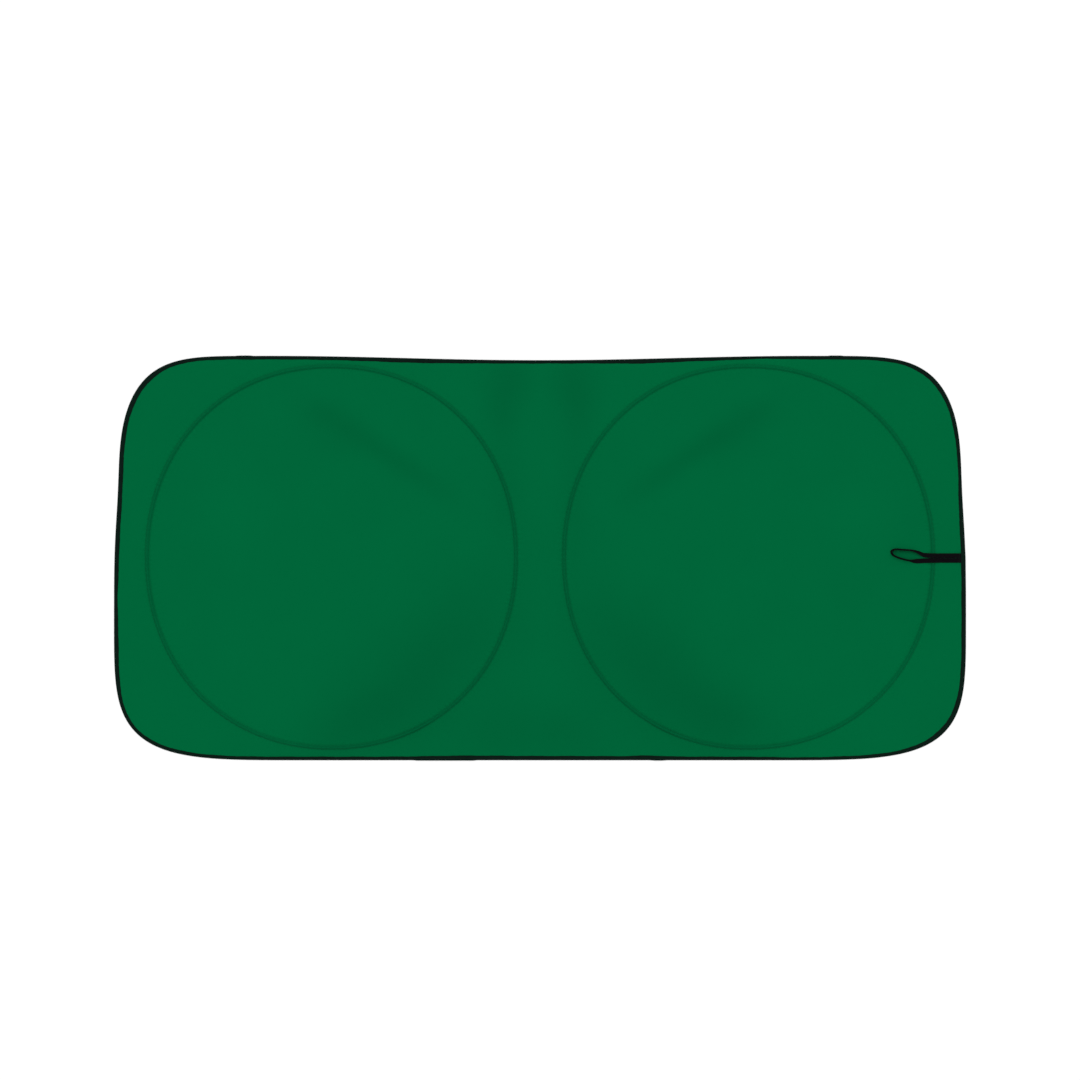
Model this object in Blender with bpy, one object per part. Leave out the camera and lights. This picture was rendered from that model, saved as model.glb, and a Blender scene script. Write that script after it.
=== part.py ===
"""Twist-fold windscreen sunshade, lying spread out on the floor with its green face up.

X runs along the shade, Y runs up the windscreen and Z points up off the floor. The origin lies on the
floor, under the middle of the shade. Every size is in metres.
"""

import math

import bmesh
import bpy
import numpy as np
from mathutils import Vector

# Outline of the bound sheet: a rounded rectangle that is widest a little below its middle
LENGTH = 1.475
HEIGHT = 0.700
WIDEST_BELOW_MIDDLE = 0.091
TOP_CORNER_RUN = 0.270  # how far in from each end the top edge starts to turn down
BOTTOM_CORNER_RUN = 0.354
TOP_SQUARENESS = 4.65  # 2 is an ellipse, and more is squarer
BOTTOM_SQUARENESS = 4.50
TOP_DIP = 0.0075  # how far the top edge sinks between the two hoops
WAIST = 0.0050  # how far each end draws in between its widest place and its upper corner
WAIST_ABOVE_MIDDLE = 0.120
WAIST_HALF = 0.090

# Cloth and tapes
CLOTH_THICKNESS = 0.0004
BINDING_WIDTH = 0.0080  # of each flap, seen on the face and on the back
BINDING_THICKNESS = 0.0005
BINDING_FOLD = 0.0008  # cloth of the tape outside the sheet's edge
CASING_THICKNESS = 0.0005
CASING_SEAM = 0.00275  # from a stitch row to the edge of the casing tape

# Spring hoops and the sleeve that joins each one's ends
WIRE_DIAMETER = 0.0020
WIRE_END_GAP = 0.0005
SLEEVE_LENGTH = 0.025
SLEEVE_WALL = 0.0003
SLEEVE_FROM_BOTTOM_DEG = 25.0  # round the hoop from its lowest point, towards the other hoop
CHANNEL_EASE = 0.0019  # from the sleeve's side to the stitch row beside it
HOOP_SQUARENESS = 2.10
HOOPS_APART = 0.083  # between the two wires in the middle of the shade
END_CLEARANCE = 0.043  # from a casing to the binding at the shade's end
TOP_CLEARANCE = 0.0040
BOTTOM_CLEARANCE = 0.0075

# Elastic loop at the right end, a flat band sewn in by both of its ends
ELASTIC_WIDTH = 0.0080
ELASTIC_THICKNESS = 0.0010
ELASTIC_END_INSET = 0.0007  # from the sheet's cut edge to the band's ends
ELASTIC_LEAN_DEG = 71.0  # how far the band has rolled up on its edge round the eye
ROLL_ABOVE = (0.055, 0.098)  # from the end of the shade, where each side starts and ends rolling up
ROLL_BELOW = (0.078, 0.100)
HUMP_RUN = 0.009  # the band's slope on each side of the ridge that it crosses
BULGE_RUN = 0.009  # the binding's slope on each side of the band's root
# The eye's route on each side: distance in from the end of the shade, and how far outside the line
# of that side's straight stretch. The last point of each lies at the tip.
EYE_ABOVE = (
    (0.072, 0.0012),
    (0.083, 0.0060),
    (0.094, 0.0092),
    (0.108, 0.0102),
    (0.121, 0.0110),
    (0.1285, 0.0080),
)
EYE_BELOW = (
    (0.072, 0.0006),
    (0.083, 0.0011),
    (0.094, 0.0006),
    (0.105, -0.0013),
    (0.116, -0.0045),
    (0.1265, -0.0098),
)

GAP = 0.0003  # left between any two pieces that touch

# How finely the curves are cut
EDGE_STEP = 0.085
EDGE_TURN_DEG = 7.0
HOOP_STATIONS = 60
WIRE_SIDES = 8
SLEEVE_SIDES = 12
ARCH_ANGLES_DEG = (40.0, 65.0, 90.0, 115.0, 140.0)
ELASTIC_STEP = 0.003
DENSE = 1440
HEADING_REACH = 0.002  # a curve's direction is read over this much on each side

# Heights, worked out from the layers that lie on each other
CLOTH_UNDERSIDE = max(BINDING_THICKNESS, CASING_THICKNESS) + GAP
CLOTH_TOP = CLOTH_UNDERSIDE + CLOTH_THICKNESS
CASING_TOP = CLOTH_UNDERSIDE - GAP
WIRE_RADIUS = WIRE_DIAMETER / 2
SLEEVE_BORE_RADIUS = WIRE_RADIUS + GAP
SLEEVE_RADIUS = SLEEVE_BORE_RADIUS + SLEEVE_WALL
CHANNEL_HALF = SLEEVE_RADIUS + CHANNEL_EASE
CASING_HALF = CHANNEL_HALF + CASING_SEAM
FLAP_UNDERSIDE = CLOTH_TOP + GAP

# Places of the hoops, worked out from the outline and the clearances
HOOP_END = LENGTH / 2 - BINDING_WIDTH - END_CLEARANCE - CASING_HALF
HOOP_SEMI_X = (HOOP_END - HOOPS_APART / 2) / 2
HOOP_X = HOOP_END - HOOP_SEMI_X
HOOP_TOP = HEIGHT / 2 - BINDING_WIDTH - TOP_CLEARANCE - CASING_HALF
HOOP_BOTTOM = -HEIGHT / 2 + BINDING_WIDTH + BOTTOM_CLEARANCE + CASING_HALF
HOOP_SEMI_Y = (HOOP_TOP - HOOP_BOTTOM) / 2
HOOP_Y = (HOOP_TOP + HOOP_BOTTOM) / 2
SIDES = {"left": -1, "right": 1}


def smooth(share):
    """Rises from 0 to 1 with level ends."""
    share = min(max(share, 0.0), 1.0)
    return share * share * (3 - 2 * share)


def superellipse(semi_x, semi_y, squareness, angle):
    """The point of a squared-off ellipse in the direction of the angle."""
    cosine = math.cos(angle)
    sine = math.sin(angle)
    reach = abs(cosine / semi_x) ** squareness + abs(sine / semi_y) ** squareness
    radius = reach ** (-1 / squareness)
    return radius * cosine, radius * sine


class Path:
    """A closed flat curve, anticlockwise, read by the distance along it."""

    def __init__(self, points):
        self.points = np.array(points + points[:1])
        steps = np.linalg.norm(np.diff(self.points, axis=0), axis=1)
        self.along = np.concatenate(([0.0], np.cumsum(steps)))
        self.length = self.along[-1]

    def at(self, distance):
        distance = distance % self.length
        x = np.interp(distance, self.along, self.points[:, 0])
        y = np.interp(distance, self.along, self.points[:, 1])
        return Vector((x, y, 0.0))

    def direction(self, distance):
        ahead = self.at(distance + HEADING_REACH)
        return (ahead - self.at(distance - HEADING_REACH)).normalized()

    def outwards(self, distance):
        ahead = self.direction(distance)
        return Vector((ahead.y, -ahead.x, 0.0))

    def nearest(self, x, y):
        """The distance along the path of its point closest to x, y."""
        away = np.hypot(self.points[:, 0] - x, self.points[:, 1] - y)
        return float(self.along[int(np.argmin(away))])

    def climbing_past(self, y):
        """The distance at which a path that starts low on its right side climbs past y."""
        highest = int(np.argmax(self.points[:, 1]))
        return float(np.interp(y, self.points[:highest, 1], self.along[:highest]))


def drawn_in(x, y):
    """A point of the right end once the end's waist is drawn in."""
    return x - WAIST * math.exp(-(((y - WAIST_ABOVE_MIDDLE) / WAIST_HALF) ** 2)), y


def outline_path():
    """The shade's outer edge, from the right end of its bottom edge all the way round."""
    top_half = LENGTH / 2 - TOP_CORNER_RUN
    bottom_half = LENGTH / 2 - BOTTOM_CORNER_RUN
    top_rise = HEIGHT / 2 + WIDEST_BELOW_MIDDLE
    bottom_drop = HEIGHT / 2 - WIDEST_BELOW_MIDDLE
    quarter = DENSE // 4
    right = []
    for i in range(quarter):
        angle = math.radians(-90 + 90 * i / quarter)
        x, y = superellipse(BOTTOM_CORNER_RUN, bottom_drop, BOTTOM_SQUARENESS, angle)
        right.append(drawn_in(bottom_half + x, y - WIDEST_BELOW_MIDDLE))
    for i in range(quarter + 1):
        angle = math.radians(90 * i / quarter)
        x, y = superellipse(TOP_CORNER_RUN, top_rise, TOP_SQUARENESS, angle)
        right.append(drawn_in(top_half + x, y - WIDEST_BELOW_MIDDLE))
    top = []
    for i in range(1, quarter):
        x = top_half * (1 - 2 * i / quarter)
        dip = TOP_DIP * math.cos(math.pi * x / (2 * top_half)) ** 2
        top.append((x, HEIGHT / 2 - dip))
    left = [(-x, y) for x, y in reversed(right)]
    return Path(right + top + left)


def hoop_path(side):
    """The wire's centre line, seen from above."""
    points = []
    for i in range(DENSE):
        angle = math.tau * i / DENSE
        x, y = superellipse(HOOP_SEMI_X, HOOP_SEMI_Y, HOOP_SQUARENESS, angle)
        points.append((side * HOOP_X + x, HOOP_Y + y))
    return Path(points)


EDGE = outline_path()
HOOPS = {name: hoop_path(side) for name, side in SIDES.items()}
ROOT_AT = EDGE.climbing_past(0.0)
ROOT_X = EDGE.at(ROOT_AT).x
BAND_APART = ELASTIC_WIDTH + GAP  # between the middles of the band's two ends
BULGE_HALF = BAND_APART / 2 + ELASTIC_WIDTH / 2 + 2 * GAP


def edge_stations():
    """Distances along the edge: close together where it turns, and beside the elastic's root."""
    distances = np.linspace(0.0, EDGE.length, DENSE)
    headings = []
    for distance in distances:
        ahead = EDGE.direction(distance)
        headings.append(math.atan2(ahead.y, ahead.x))
    turned = np.abs(np.diff(np.unwrap(headings)))
    measure = np.diff(distances) / EDGE_STEP + np.degrees(turned) / EDGE_TURN_DEG
    grown = np.concatenate(([0.0], np.cumsum(measure)))
    count = math.ceil(grown[-1])
    even = np.interp(np.arange(count) * grown[-1] / count, grown, distances)
    reaches = (0.0, BULGE_HALF, BULGE_HALF + BULGE_RUN / 2, BULGE_HALF + BULGE_RUN)
    root = {ROOT_AT + sign * reach for reach in reaches for sign in (-1, 1)}
    clear = BULGE_HALF + BULGE_RUN + EDGE_STEP / 8
    return sorted(root | {float(d) for d in even if abs(d - ROOT_AT) > clear})


def sleeve_at(name):
    """The distance along the hoop of its sleeve's middle."""
    turn = math.radians(-90 - SIDES[name] * SLEEVE_FROM_BOTTOM_DEG)
    x, y = superellipse(HOOP_SEMI_X, HOOP_SEMI_Y, HOOP_SQUARENESS, turn)
    return HOOPS[name].nearest(SIDES[name] * HOOP_X + x, HOOP_Y + y)


def hoop_stations(name):
    """Distances along the hoop from the sleeve's middle, closer together beside the sleeve."""
    reaches = (0.0, SLEEVE_LENGTH / 2, SLEEVE_LENGTH, 1.5 * SLEEVE_LENGTH, 2 * SLEEVE_LENGTH)
    beside = {sign * reach for reach in reaches for sign in (-1, 1)}
    rest = HOOPS[name].length - 4 * SLEEVE_LENGTH
    evenly = {2 * SLEEVE_LENGTH + rest * i / HOOP_STATIONS for i in range(1, HOOP_STATIONS)}
    return sorted(beside | evenly)


def lift(name, distance):
    """How far the wire has risen into its sleeve, from 0 to 1, at a distance from its middle."""
    length = HOOPS[name].length
    away = abs((distance + length / 2) % length - length / 2)
    return 1 - smooth((away - SLEEVE_LENGTH / 2) / (1.5 * SLEEVE_LENGTH))


def wire_height(name, distance):
    share = lift(name, distance)
    return CASING_TOP + GAP + WIRE_RADIUS + share * (SLEEVE_RADIUS - WIRE_RADIUS)


def across(path, start, distance, offset, height):
    """The point beside the path, outwards by the offset, at the height."""
    place = start + distance
    point = path.at(place) + path.outwards(place) * offset
    return Vector((point.x, point.y, height))


def arch(name, distance):
    """The cloth's top side over the wire, from stitch row to stitch row, as offsets and heights."""
    share = lift(name, distance)
    held = WIRE_RADIUS + share * (SLEEVE_RADIUS - WIRE_RADIUS)
    half_step = math.radians(ARCH_ANGLES_DEG[1] - ARCH_ANGLES_DEG[0]) / 2
    radius = (held + GAP + CLOTH_THICKNESS) / math.cos(half_step)
    middle = wire_height(name, distance)
    section = [(CHANNEL_HALF, CLOTH_TOP)]
    for degrees in ARCH_ANGLES_DEG:
        angle = math.radians(degrees)
        section.append((radius * math.cos(angle), middle + radius * math.sin(angle)))
    section.append((-CHANNEL_HALF, CLOTH_TOP))
    return section


def material(name, colour, roughness, metallic=0.0):
    made = bpy.data.materials.new(name)
    made.use_nodes = True
    shader = made.node_tree.nodes["Principled BSDF"]
    shader.inputs["Base Color"].default_value = (*colour, 1.0)
    shader.inputs["Roughness"].default_value = roughness
    shader.inputs["Metallic"].default_value = metallic
    made.diffuse_color = (*colour, 1.0)
    return made


def placed(name, bm, finish, smooth_from=None):
    """Closes the bmesh into a named object with its material."""
    bmesh.ops.recalc_face_normals(bm, faces=bm.faces)
    mesh = bpy.data.meshes.new(name)
    bm.to_mesh(mesh)
    bm.free()
    mesh.materials.append(finish)
    if smooth_from:
        mesh.shade_smooth()
        mesh.set_sharp_from_angle(angle=math.radians(smooth_from))
    obj = bpy.data.objects.new(name, mesh)
    bpy.context.scene.collection.objects.link(obj)
    return obj


def add_ring(bm, points):
    return [bm.verts.new(point) for point in points]


def join_rings(bm, first, second):
    """Quads between two closed rings of as many points."""
    for i in range(len(first)):
        j = (i + 1) % len(first)
        bm.faces.new((first[i], first[j], second[j], second[i]))


def swept(name, sections, finish, closed, smooth_from=None):
    """A solid through closed sections, either back round to the first or capped at both ends."""
    bm = bmesh.new()
    rings = [add_ring(bm, section) for section in sections]
    for first, second in zip(rings, rings[1:]):
        join_rings(bm, first, second)
    if closed:
        join_rings(bm, rings[-1], rings[0])
    else:
        bm.faces.new(rings[0])
        bm.faces.new(rings[-1])
    return placed(name, bm, finish, smooth_from)


def ring_edges(bm, ring):
    edges = []
    for i, vert in enumerate(ring):
        other = ring[(i + 1) % len(ring)]
        edges.append(bm.edges.get((vert, other)) or bm.edges.new((vert, other)))
    return edges


def shade_cloth(finish):
    """The sheet, raised over each hoop, drawn as its top side and thickened downwards."""
    bm = bmesh.new()
    inset = BINDING_FOLD + GAP
    stations = edge_stations()
    rim = [across(EDGE, 0.0, distance, -inset, CLOTH_TOP) for distance in stations]
    outside = ring_edges(bm, add_ring(bm, rim))
    for name, path in HOOPS.items():
        start = sleeve_at(name)
        stations = hoop_stations(name)
        arches = [arch(name, distance) for distance in stations]
        rings = []
        for step in range(len(arches[0])):
            points = []
            for distance, section in zip(stations, arches):
                offset, height = section[step]
                points.append(across(path, start, distance, offset, height))
            rings.append(add_ring(bm, points))
        for first, second in zip(rings, rings[1:]):
            join_rings(bm, first, second)
        outside += ring_edges(bm, rings[0])
        inside = ring_edges(bm, rings[-1])
        bmesh.ops.triangle_fill(bm, edges=inside, use_beauty=True, normal=(0, 0, 1))
    bmesh.ops.triangle_fill(bm, edges=outside, use_beauty=True, normal=(0, 0, 1))
    cloth = placed("shade_cloth", bm, finish, smooth_from=50)
    if cloth.data.polygons[-1].normal.z < 0:
        cloth.data.flip_normals()
    thicken = cloth.modifiers.new("Thickness", "SOLIDIFY")
    thicken.thickness = CLOTH_THICKNESS
    thicken.offset = -1.0
    thicken.use_even_offset = True
    return cloth


def edge_binding(finish):
    """A tape folded over the sheet's edge, which bulges over the root of the elastic."""
    under = CLOTH_UNDERSIDE - GAP
    bottom = under - BINDING_THICKNESS
    corner = BINDING_THICKNESS / 2
    sections = []
    for distance in edge_stations():
        away = abs(distance - ROOT_AT) - BULGE_HALF
        raised = (ELASTIC_THICKNESS + GAP) * (1 - smooth(away / BULGE_RUN))
        over = FLAP_UNDERSIDE + raised
        top = over + BINDING_THICKNESS
        section = (
            (BINDING_WIDTH, bottom),
            (BINDING_WIDTH, under),
            (BINDING_FOLD, under),
            (BINDING_FOLD, over),
            (BINDING_WIDTH, over),
            (BINDING_WIDTH, top),
            (corner, top),
            (0.0, top - corner),
            (0.0, bottom + corner),
            (corner, bottom),
        )
        sections.append([across(EDGE, 0.0, distance, -inset, z) for inset, z in section])
    return swept("edge_binding", sections, finish, closed=True)


def hoop_casing(name, finish):
    """A flat tape under the hoop, sewn to the sheet along both of its sides."""
    start = sleeve_at(name)
    bottom = CASING_TOP - CASING_THICKNESS
    section = (
        (CASING_HALF, bottom),
        (CASING_HALF, CASING_TOP),
        (-CASING_HALF, CASING_TOP),
        (-CASING_HALF, bottom),
    )
    sections = []
    for distance in hoop_stations(name):
        sections.append([across(HOOPS[name], start, distance, o, z) for o, z in section])
    return swept(f"{name}_hoop_casing", sections, finish, closed=True)


def round_section(name, distance, radius, sides):
    """A circle across the wire."""
    start = sleeve_at(name)
    middle = wire_height(name, distance)
    points = []
    for i in range(sides):
        angle = math.tau * (i + 0.5) / sides
        height = middle + radius * math.sin(angle)
        points.append(across(HOOPS[name], start, distance, radius * math.cos(angle), height))
    return points


def hoop_wire(name, finish):
    """One length of spring wire whose ends meet inside the sleeve."""
    length = HOOPS[name].length
    inner = [d for d in hoop_stations(name) if d > 0]
    distances = [WIRE_END_GAP / 2]
    distances += inner
    distances += [length + d for d in hoop_stations(name) if d < 0]
    distances.append(length - WIRE_END_GAP / 2)
    sections = [round_section(name, d, WIRE_RADIUS, WIRE_SIDES) for d in distances]
    return swept(f"{name}_hoop_wire", sections, finish, closed=False, smooth_from=50)


def hoop_sleeve(name, finish):
    """An open tube over the wire's two ends."""
    bm = bmesh.new()
    outer = []
    bore = []
    for distance in (-SLEEVE_LENGTH / 2, 0.0, SLEEVE_LENGTH / 2):
        outer.append(add_ring(bm, round_section(name, distance, SLEEVE_RADIUS, SLEEVE_SIDES)))
        bore.append(add_ring(bm, round_section(name, distance, SLEEVE_BORE_RADIUS, SLEEVE_SIDES)))
    for wall in (outer, bore):
        for first, second in zip(wall, wall[1:]):
            join_rings(bm, first, second)
    for end in (0, -1):
        join_rings(bm, outer[end], bore[end])
    return placed(f"{name}_hoop_sleeve", bm, finish, smooth_from=50)


def elastic_route():
    """Points down the middle of the band as seen from above, out from its root and back to it."""
    side = BAND_APART / 2
    starts = (BINDING_FOLD + GAP + ELASTIC_END_INSET, 0.0)
    straight = (starts, (0.020, 0.0), (0.040, 0.0), (0.054, 0.0))
    above = [(inwards, side + beyond) for inwards, beyond in (*straight, *EYE_ABOVE)]
    below = [(inwards, -side - beyond) for inwards, beyond in (*straight, *EYE_BELOW)]
    return [Vector((ROOT_X - inwards, up, 0.0)) for inwards, up in (*above, *reversed(below))]


def smooth_points(points, step):
    """Points a step apart on the smooth curve through the given ones."""
    ends = [2 * points[0] - points[1], *points, 2 * points[-1] - points[-2]]
    made = []
    for before, start, end, after in zip(ends, ends[1:], ends[2:], ends[3:]):
        count = math.ceil((end - start).length / step)
        for i in range(count):
            t = i / count
            bend = 2 * start + (end - before) * t
            bend += (2 * before - 5 * start + 4 * end - after) * t**2
            bend += (3 * start - before - 3 * end + after) * t**3
            made.append(bend / 2)
    return [*made, points[-1]]


def elastic_loop(finish):
    """A flat band that lies flat at its root and rolls up on its edge round the open eye."""
    ridge_x = HOOP_X + HOOP_SEMI_X
    ridge_top = max(height for _, height in arch("right", HOOPS["right"].length / 2))
    hump_half = CHANNEL_HALF + HUMP_RUN
    middles = []
    leans = []
    route = smooth_points(elastic_route(), ELASTIC_STEP)
    tip = min(range(len(route)), key=lambda i: route[i].x)
    for i, point in enumerate(route):
        starts, ends = ROLL_ABOVE if i < tip else ROLL_BELOW
        share = smooth((ROOT_X - point.x - starts) / (ends - starts))
        lean = math.radians(ELASTIC_LEAN_DEG) * share
        away = min(abs(point.x - ridge_x) / hump_half, 1.0)
        hump = (ridge_top - CLOTH_TOP) * math.cos(math.pi * away / 2) ** 2
        half_height = (ELASTIC_WIDTH * math.sin(lean) + ELASTIC_THICKNESS * math.cos(lean)) / 2
        point.z = CLOTH_TOP + GAP + half_height + hump
        middles.append(point)
        leans.append(lean)
    sections = []
    for i, (middle, lean) in enumerate(zip(middles, leans)):
        ahead = middles[min(i + 1, len(middles) - 1)] - middles[max(i - 1, 0)]
        ahead.normalize()
        outwards = Vector((ahead.y, -ahead.x, 0.0)).normalized()
        upwards = outwards.cross(ahead)
        face = upwards * math.cos(lean) + outwards * math.sin(lean)
        width = upwards * math.sin(lean) - outwards * math.cos(lean)
        w = width * ELASTIC_WIDTH / 2
        t = face * ELASTIC_THICKNESS / 2
        sections.append([middle + w + t, middle - w + t, middle - w - t, middle + w - t])
    return swept("elastic_loop", sections, finish, closed=False)


def main():
    for obj in list(bpy.data.objects):
        bpy.data.objects.remove(obj, do_unlink=True)
    taffeta = material("green_taffeta", (0.001, 0.130, 0.041), 0.55)
    binding_tape = material("binding_tape", (0.006, 0.010, 0.009), 0.70)
    casing_tape = material("casing_tape", (0.012, 0.012, 0.013), 0.80)
    spring_steel = material("spring_steel", (0.420, 0.410, 0.400), 0.35, metallic=1.0)
    sleeve_steel = material("sleeve_steel", (0.560, 0.560, 0.550), 0.45, metallic=1.0)
    woven_elastic = material("woven_elastic", (0.006, 0.005, 0.006), 0.85)
    shade_cloth(taffeta)
    edge_binding(binding_tape)
    for name in HOOPS:
        hoop_casing(name, casing_tape)
        hoop_wire(name, spring_steel)
        hoop_sleeve(name, sleeve_steel)
    elastic_loop(woven_elastic)


main()
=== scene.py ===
"""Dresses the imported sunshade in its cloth, tapes, stitching and elastic, and sets its studio.

It is laid out as a Blender add-on and run as a script. Every size is in metres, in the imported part's own
frame: X runs along the shade, Y up the windscreen and Z up off the floor.
"""

import math

import bmesh
import bpy
import numpy as np
from mathutils import Matrix, Vector, kdtree


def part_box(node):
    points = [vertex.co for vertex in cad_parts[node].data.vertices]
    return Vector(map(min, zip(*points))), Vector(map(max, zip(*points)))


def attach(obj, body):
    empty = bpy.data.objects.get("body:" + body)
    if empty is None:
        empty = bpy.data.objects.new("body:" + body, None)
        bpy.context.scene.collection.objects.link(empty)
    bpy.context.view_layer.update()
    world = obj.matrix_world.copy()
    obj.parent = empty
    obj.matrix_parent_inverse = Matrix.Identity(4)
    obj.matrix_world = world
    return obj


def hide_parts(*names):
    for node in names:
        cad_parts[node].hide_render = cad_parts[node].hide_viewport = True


bl_info = {
    "name": "Twist-fold sunshade",
    "version": (1, 0, 0),
    "blender": (4, 5, 0),
    "location": "3D View > Sidebar > Sunshade",
    "description": "Dresses the packed sunshade and sets its studio",
    "category": "Object",
}

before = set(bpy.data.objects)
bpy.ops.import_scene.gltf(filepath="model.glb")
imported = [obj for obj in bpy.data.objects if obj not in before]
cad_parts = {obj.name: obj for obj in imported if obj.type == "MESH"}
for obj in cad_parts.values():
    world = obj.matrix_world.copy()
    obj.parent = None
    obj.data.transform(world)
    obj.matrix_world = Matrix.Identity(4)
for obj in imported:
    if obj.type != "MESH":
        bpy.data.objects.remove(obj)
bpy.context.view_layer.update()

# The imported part's outline, from its binding's box and the driving values of part.py
BINDING_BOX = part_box("edge_binding")
LENGTH = BINDING_BOX[1].x - BINDING_BOX[0].x
HEIGHT = BINDING_BOX[1].y - BINDING_BOX[0].y
WIDEST_BELOW_MIDDLE = 0.091
TOP_CORNER_RUN = 0.270
BOTTOM_CORNER_RUN = 0.354
TOP_SQUARENESS = 4.65
BOTTOM_SQUARENESS = 4.50
TOP_DIP = 0.0075
WAIST = 0.0050
WAIST_ABOVE_MIDDLE = 0.120
WAIST_HALF = 0.090

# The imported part's layers, as part.py stacks them
GAP = 0.0003
TAPE_WIDTH = 0.0080
BINDING_FOLD = 0.0008
CUT_INSET = BINDING_FOLD + GAP  # from the shade's outline to the sheet's cut edge
CASING_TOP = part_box("right_hoop_casing")[1].z
CLOTH_LEVEL = 0.0012
WIRE_RADIUS = 0.0010
SLEEVE_RADIUS = WIRE_RADIUS + 2 * GAP
SLEEVE_LENGTH = 0.025
SLEEVE_FROM_BOTTOM_DEG = 25.0

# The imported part's hoops
HOOP_SQUARENESS = 2.10
CHANNEL_HALF = 0.0035
CASING_HALF = 0.00625
HOOPS_APART = 0.083
END_CLEARANCE = 0.043
TOP_CLEARANCE = 0.0040
BOTTOM_CLEARANCE = 0.0075
HOOP_END = LENGTH / 2 - TAPE_WIDTH - END_CLEARANCE - CASING_HALF
HOOP_SEMI_X = (HOOP_END - HOOPS_APART / 2) / 2
HOOP_X = HOOP_END - HOOP_SEMI_X
HOOP_TOP = HEIGHT / 2 - TAPE_WIDTH - TOP_CLEARANCE - CASING_HALF
HOOP_BOTTOM = -HEIGHT / 2 + TAPE_WIDTH + BOTTOM_CLEARANCE + CASING_HALF
HOOP_SEMI_Y = (HOOP_TOP - HOOP_BOTTOM) / 2
HOOP_Y = (HOOP_TOP + HOOP_BOTTOM) / 2
SIDES = {"left": -1, "right": 1}

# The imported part's elastic band, with its route as part.py lays it
BAND_WIDTH = 0.0080
BAND_THICKNESS = 0.0010
BAND_END_INSET = 0.0007
BAND_LEAN_DEG = 71.0
ROLL_ABOVE = (0.055, 0.098)
ROLL_BELOW = (0.078, 0.100)
HUMP_RUN = 0.009
BAND_APART = BAND_WIDTH + GAP
BAND_STRAIGHT = (0.020, 0.040, 0.054)
EYE_ABOVE = (
    (0.072, 0.0012), (0.083, 0.0060), (0.094, 0.0092),
    (0.108, 0.0102), (0.121, 0.0110), (0.1285, 0.0080),
)
EYE_BELOW = (
    (0.072, 0.0006), (0.083, 0.0011), (0.094, 0.0006),
    (0.105, -0.0013), (0.116, -0.0045), (0.1265, -0.0098),
)

# How finely the pieces are cut
AROUND = 320  # cells round a hoop, a multiple of eight so that the disc inside it has square corners
OUT_TO_RIM = 14
RIM_CROWDING = 1.6  # more than 1 crowds the outer rings towards the edge, where the cloth is pressed flat
EDGE_CELLS = 900
BAND_CELL = 0.0011
DENSE = 2880
MERGE = 1e-6
HEADING_REACH = 0.002  # a curve's direction is read over this much on each side
CORNER_REACH = 0.020  # and the outline's turn at a corner over this much

# The photo's frame
FRAME_PIXELS = 1080.0
SHADE_PIXELS = 852.1
SHADE_MIDDLE_ROW = 558.05
FRAME_WIDTH = LENGTH * FRAME_PIXELS / SHADE_PIXELS
FRAME_MIDDLE_Y = (SHADE_MIDDLE_ROW - FRAME_PIXELS / 2) * LENGTH / SHADE_PIXELS


def linear(hex_colour):
    """An sRGB hex colour as linear red, green, blue and alpha."""
    channels = [int(hex_colour[i : i + 2], 16) / 255 for i in (1, 3, 5)]
    values = [c / 12.92 if c <= 0.04045 else ((c + 0.055) / 1.055) ** 2.4 for c in channels]
    return (*values, 1.0)


def colour_property(name, description, hex_colour):
    colour = linear(hex_colour)
    return bpy.props.FloatVectorProperty(
        name=name, description=description, default=colour, size=4, min=0.0, max=1.0, subtype="COLOR"
    )


def length_property(name, description, metres):
    settings = {"min": 0.0, "precision": 5, "subtype": "DISTANCE", "unit": "LENGTH"}
    return bpy.props.FloatProperty(name=name, description=description, default=metres, **settings)


class SunshadeSizes(bpy.types.PropertyGroup):
    cloth: length_property("Cloth", "Thickness of the coated taffeta", 0.0003)
    swell: length_property("Swell", "Height of the slack cloth's highest wave", 0.0030)
    weave: length_property("Weave", "Distance between two threads of the taffeta", 0.0008)
    pucker: length_property("Pucker", "Length of one pucker along a seam", 0.0090)
    tape: length_property("Tape", "Thickness of the folded binding", 0.0006)
    rib: length_property("Rib", "Distance between two ribs of the woven tapes", 0.0012)
    level_flap: length_property("Level flap", "Binding seen along the top and the bottom", 0.0062)
    end_flap: length_property("End flap", "Binding seen along the two ends", 0.0080)
    corner_flap: length_property("Corner flap", "What the binding gains round a corner", 0.0020)
    stitch: length_property("Stitch", "Length of one stitch", 0.0026)
    stitch_gap: length_property("Stitch gap", "Cloth between two stitches", 0.0008)
    thread: length_property("Thread", "Thickness of the sewing thread", 0.0004)


class SunshadeColours(bpy.types.PropertyGroup):
    cloth: colour_property("Cloth", "Dyed face of the taffeta", "#00683a")
    # The seam colour is painted shade, laid along the hoop seams over the wires
    seam: colour_property("Seam", "Taffeta where the black casing backs it", "#005f36")
    gloss: colour_property("Gloss", "Tint of the light that the dyed face throws back", "#27ffbc")
    coating: colour_property("Coating", "Silver coating on the reverse", "#c3c6c8")
    binding: colour_property("Binding", "Black binding tape", "#051811")
    casing: colour_property("Casing", "Black casing tape", "#161617")
    elastic: colour_property("Elastic", "Black elastic band", "#08070a")
    black_thread: colour_property("Black thread", "Thread of the binding and the elastic", "#0e1210")
    green_thread: colour_property("Green thread", "Thread of the casings' rows", "#005c34")
    wire: colour_property("Wire", "Bare spring steel", "#aaa8a5")
    zinc: colour_property("Zinc", "Plating of the sleeves", "#c4c6c5")
    floor: colour_property("Floor", "Studio floor", "#e8e8e8")


def smooth(share):
    """Rises from 0 to 1 with level ends."""
    share = min(max(share, 0.0), 1.0)
    return share * share * (3 - 2 * share)


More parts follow.
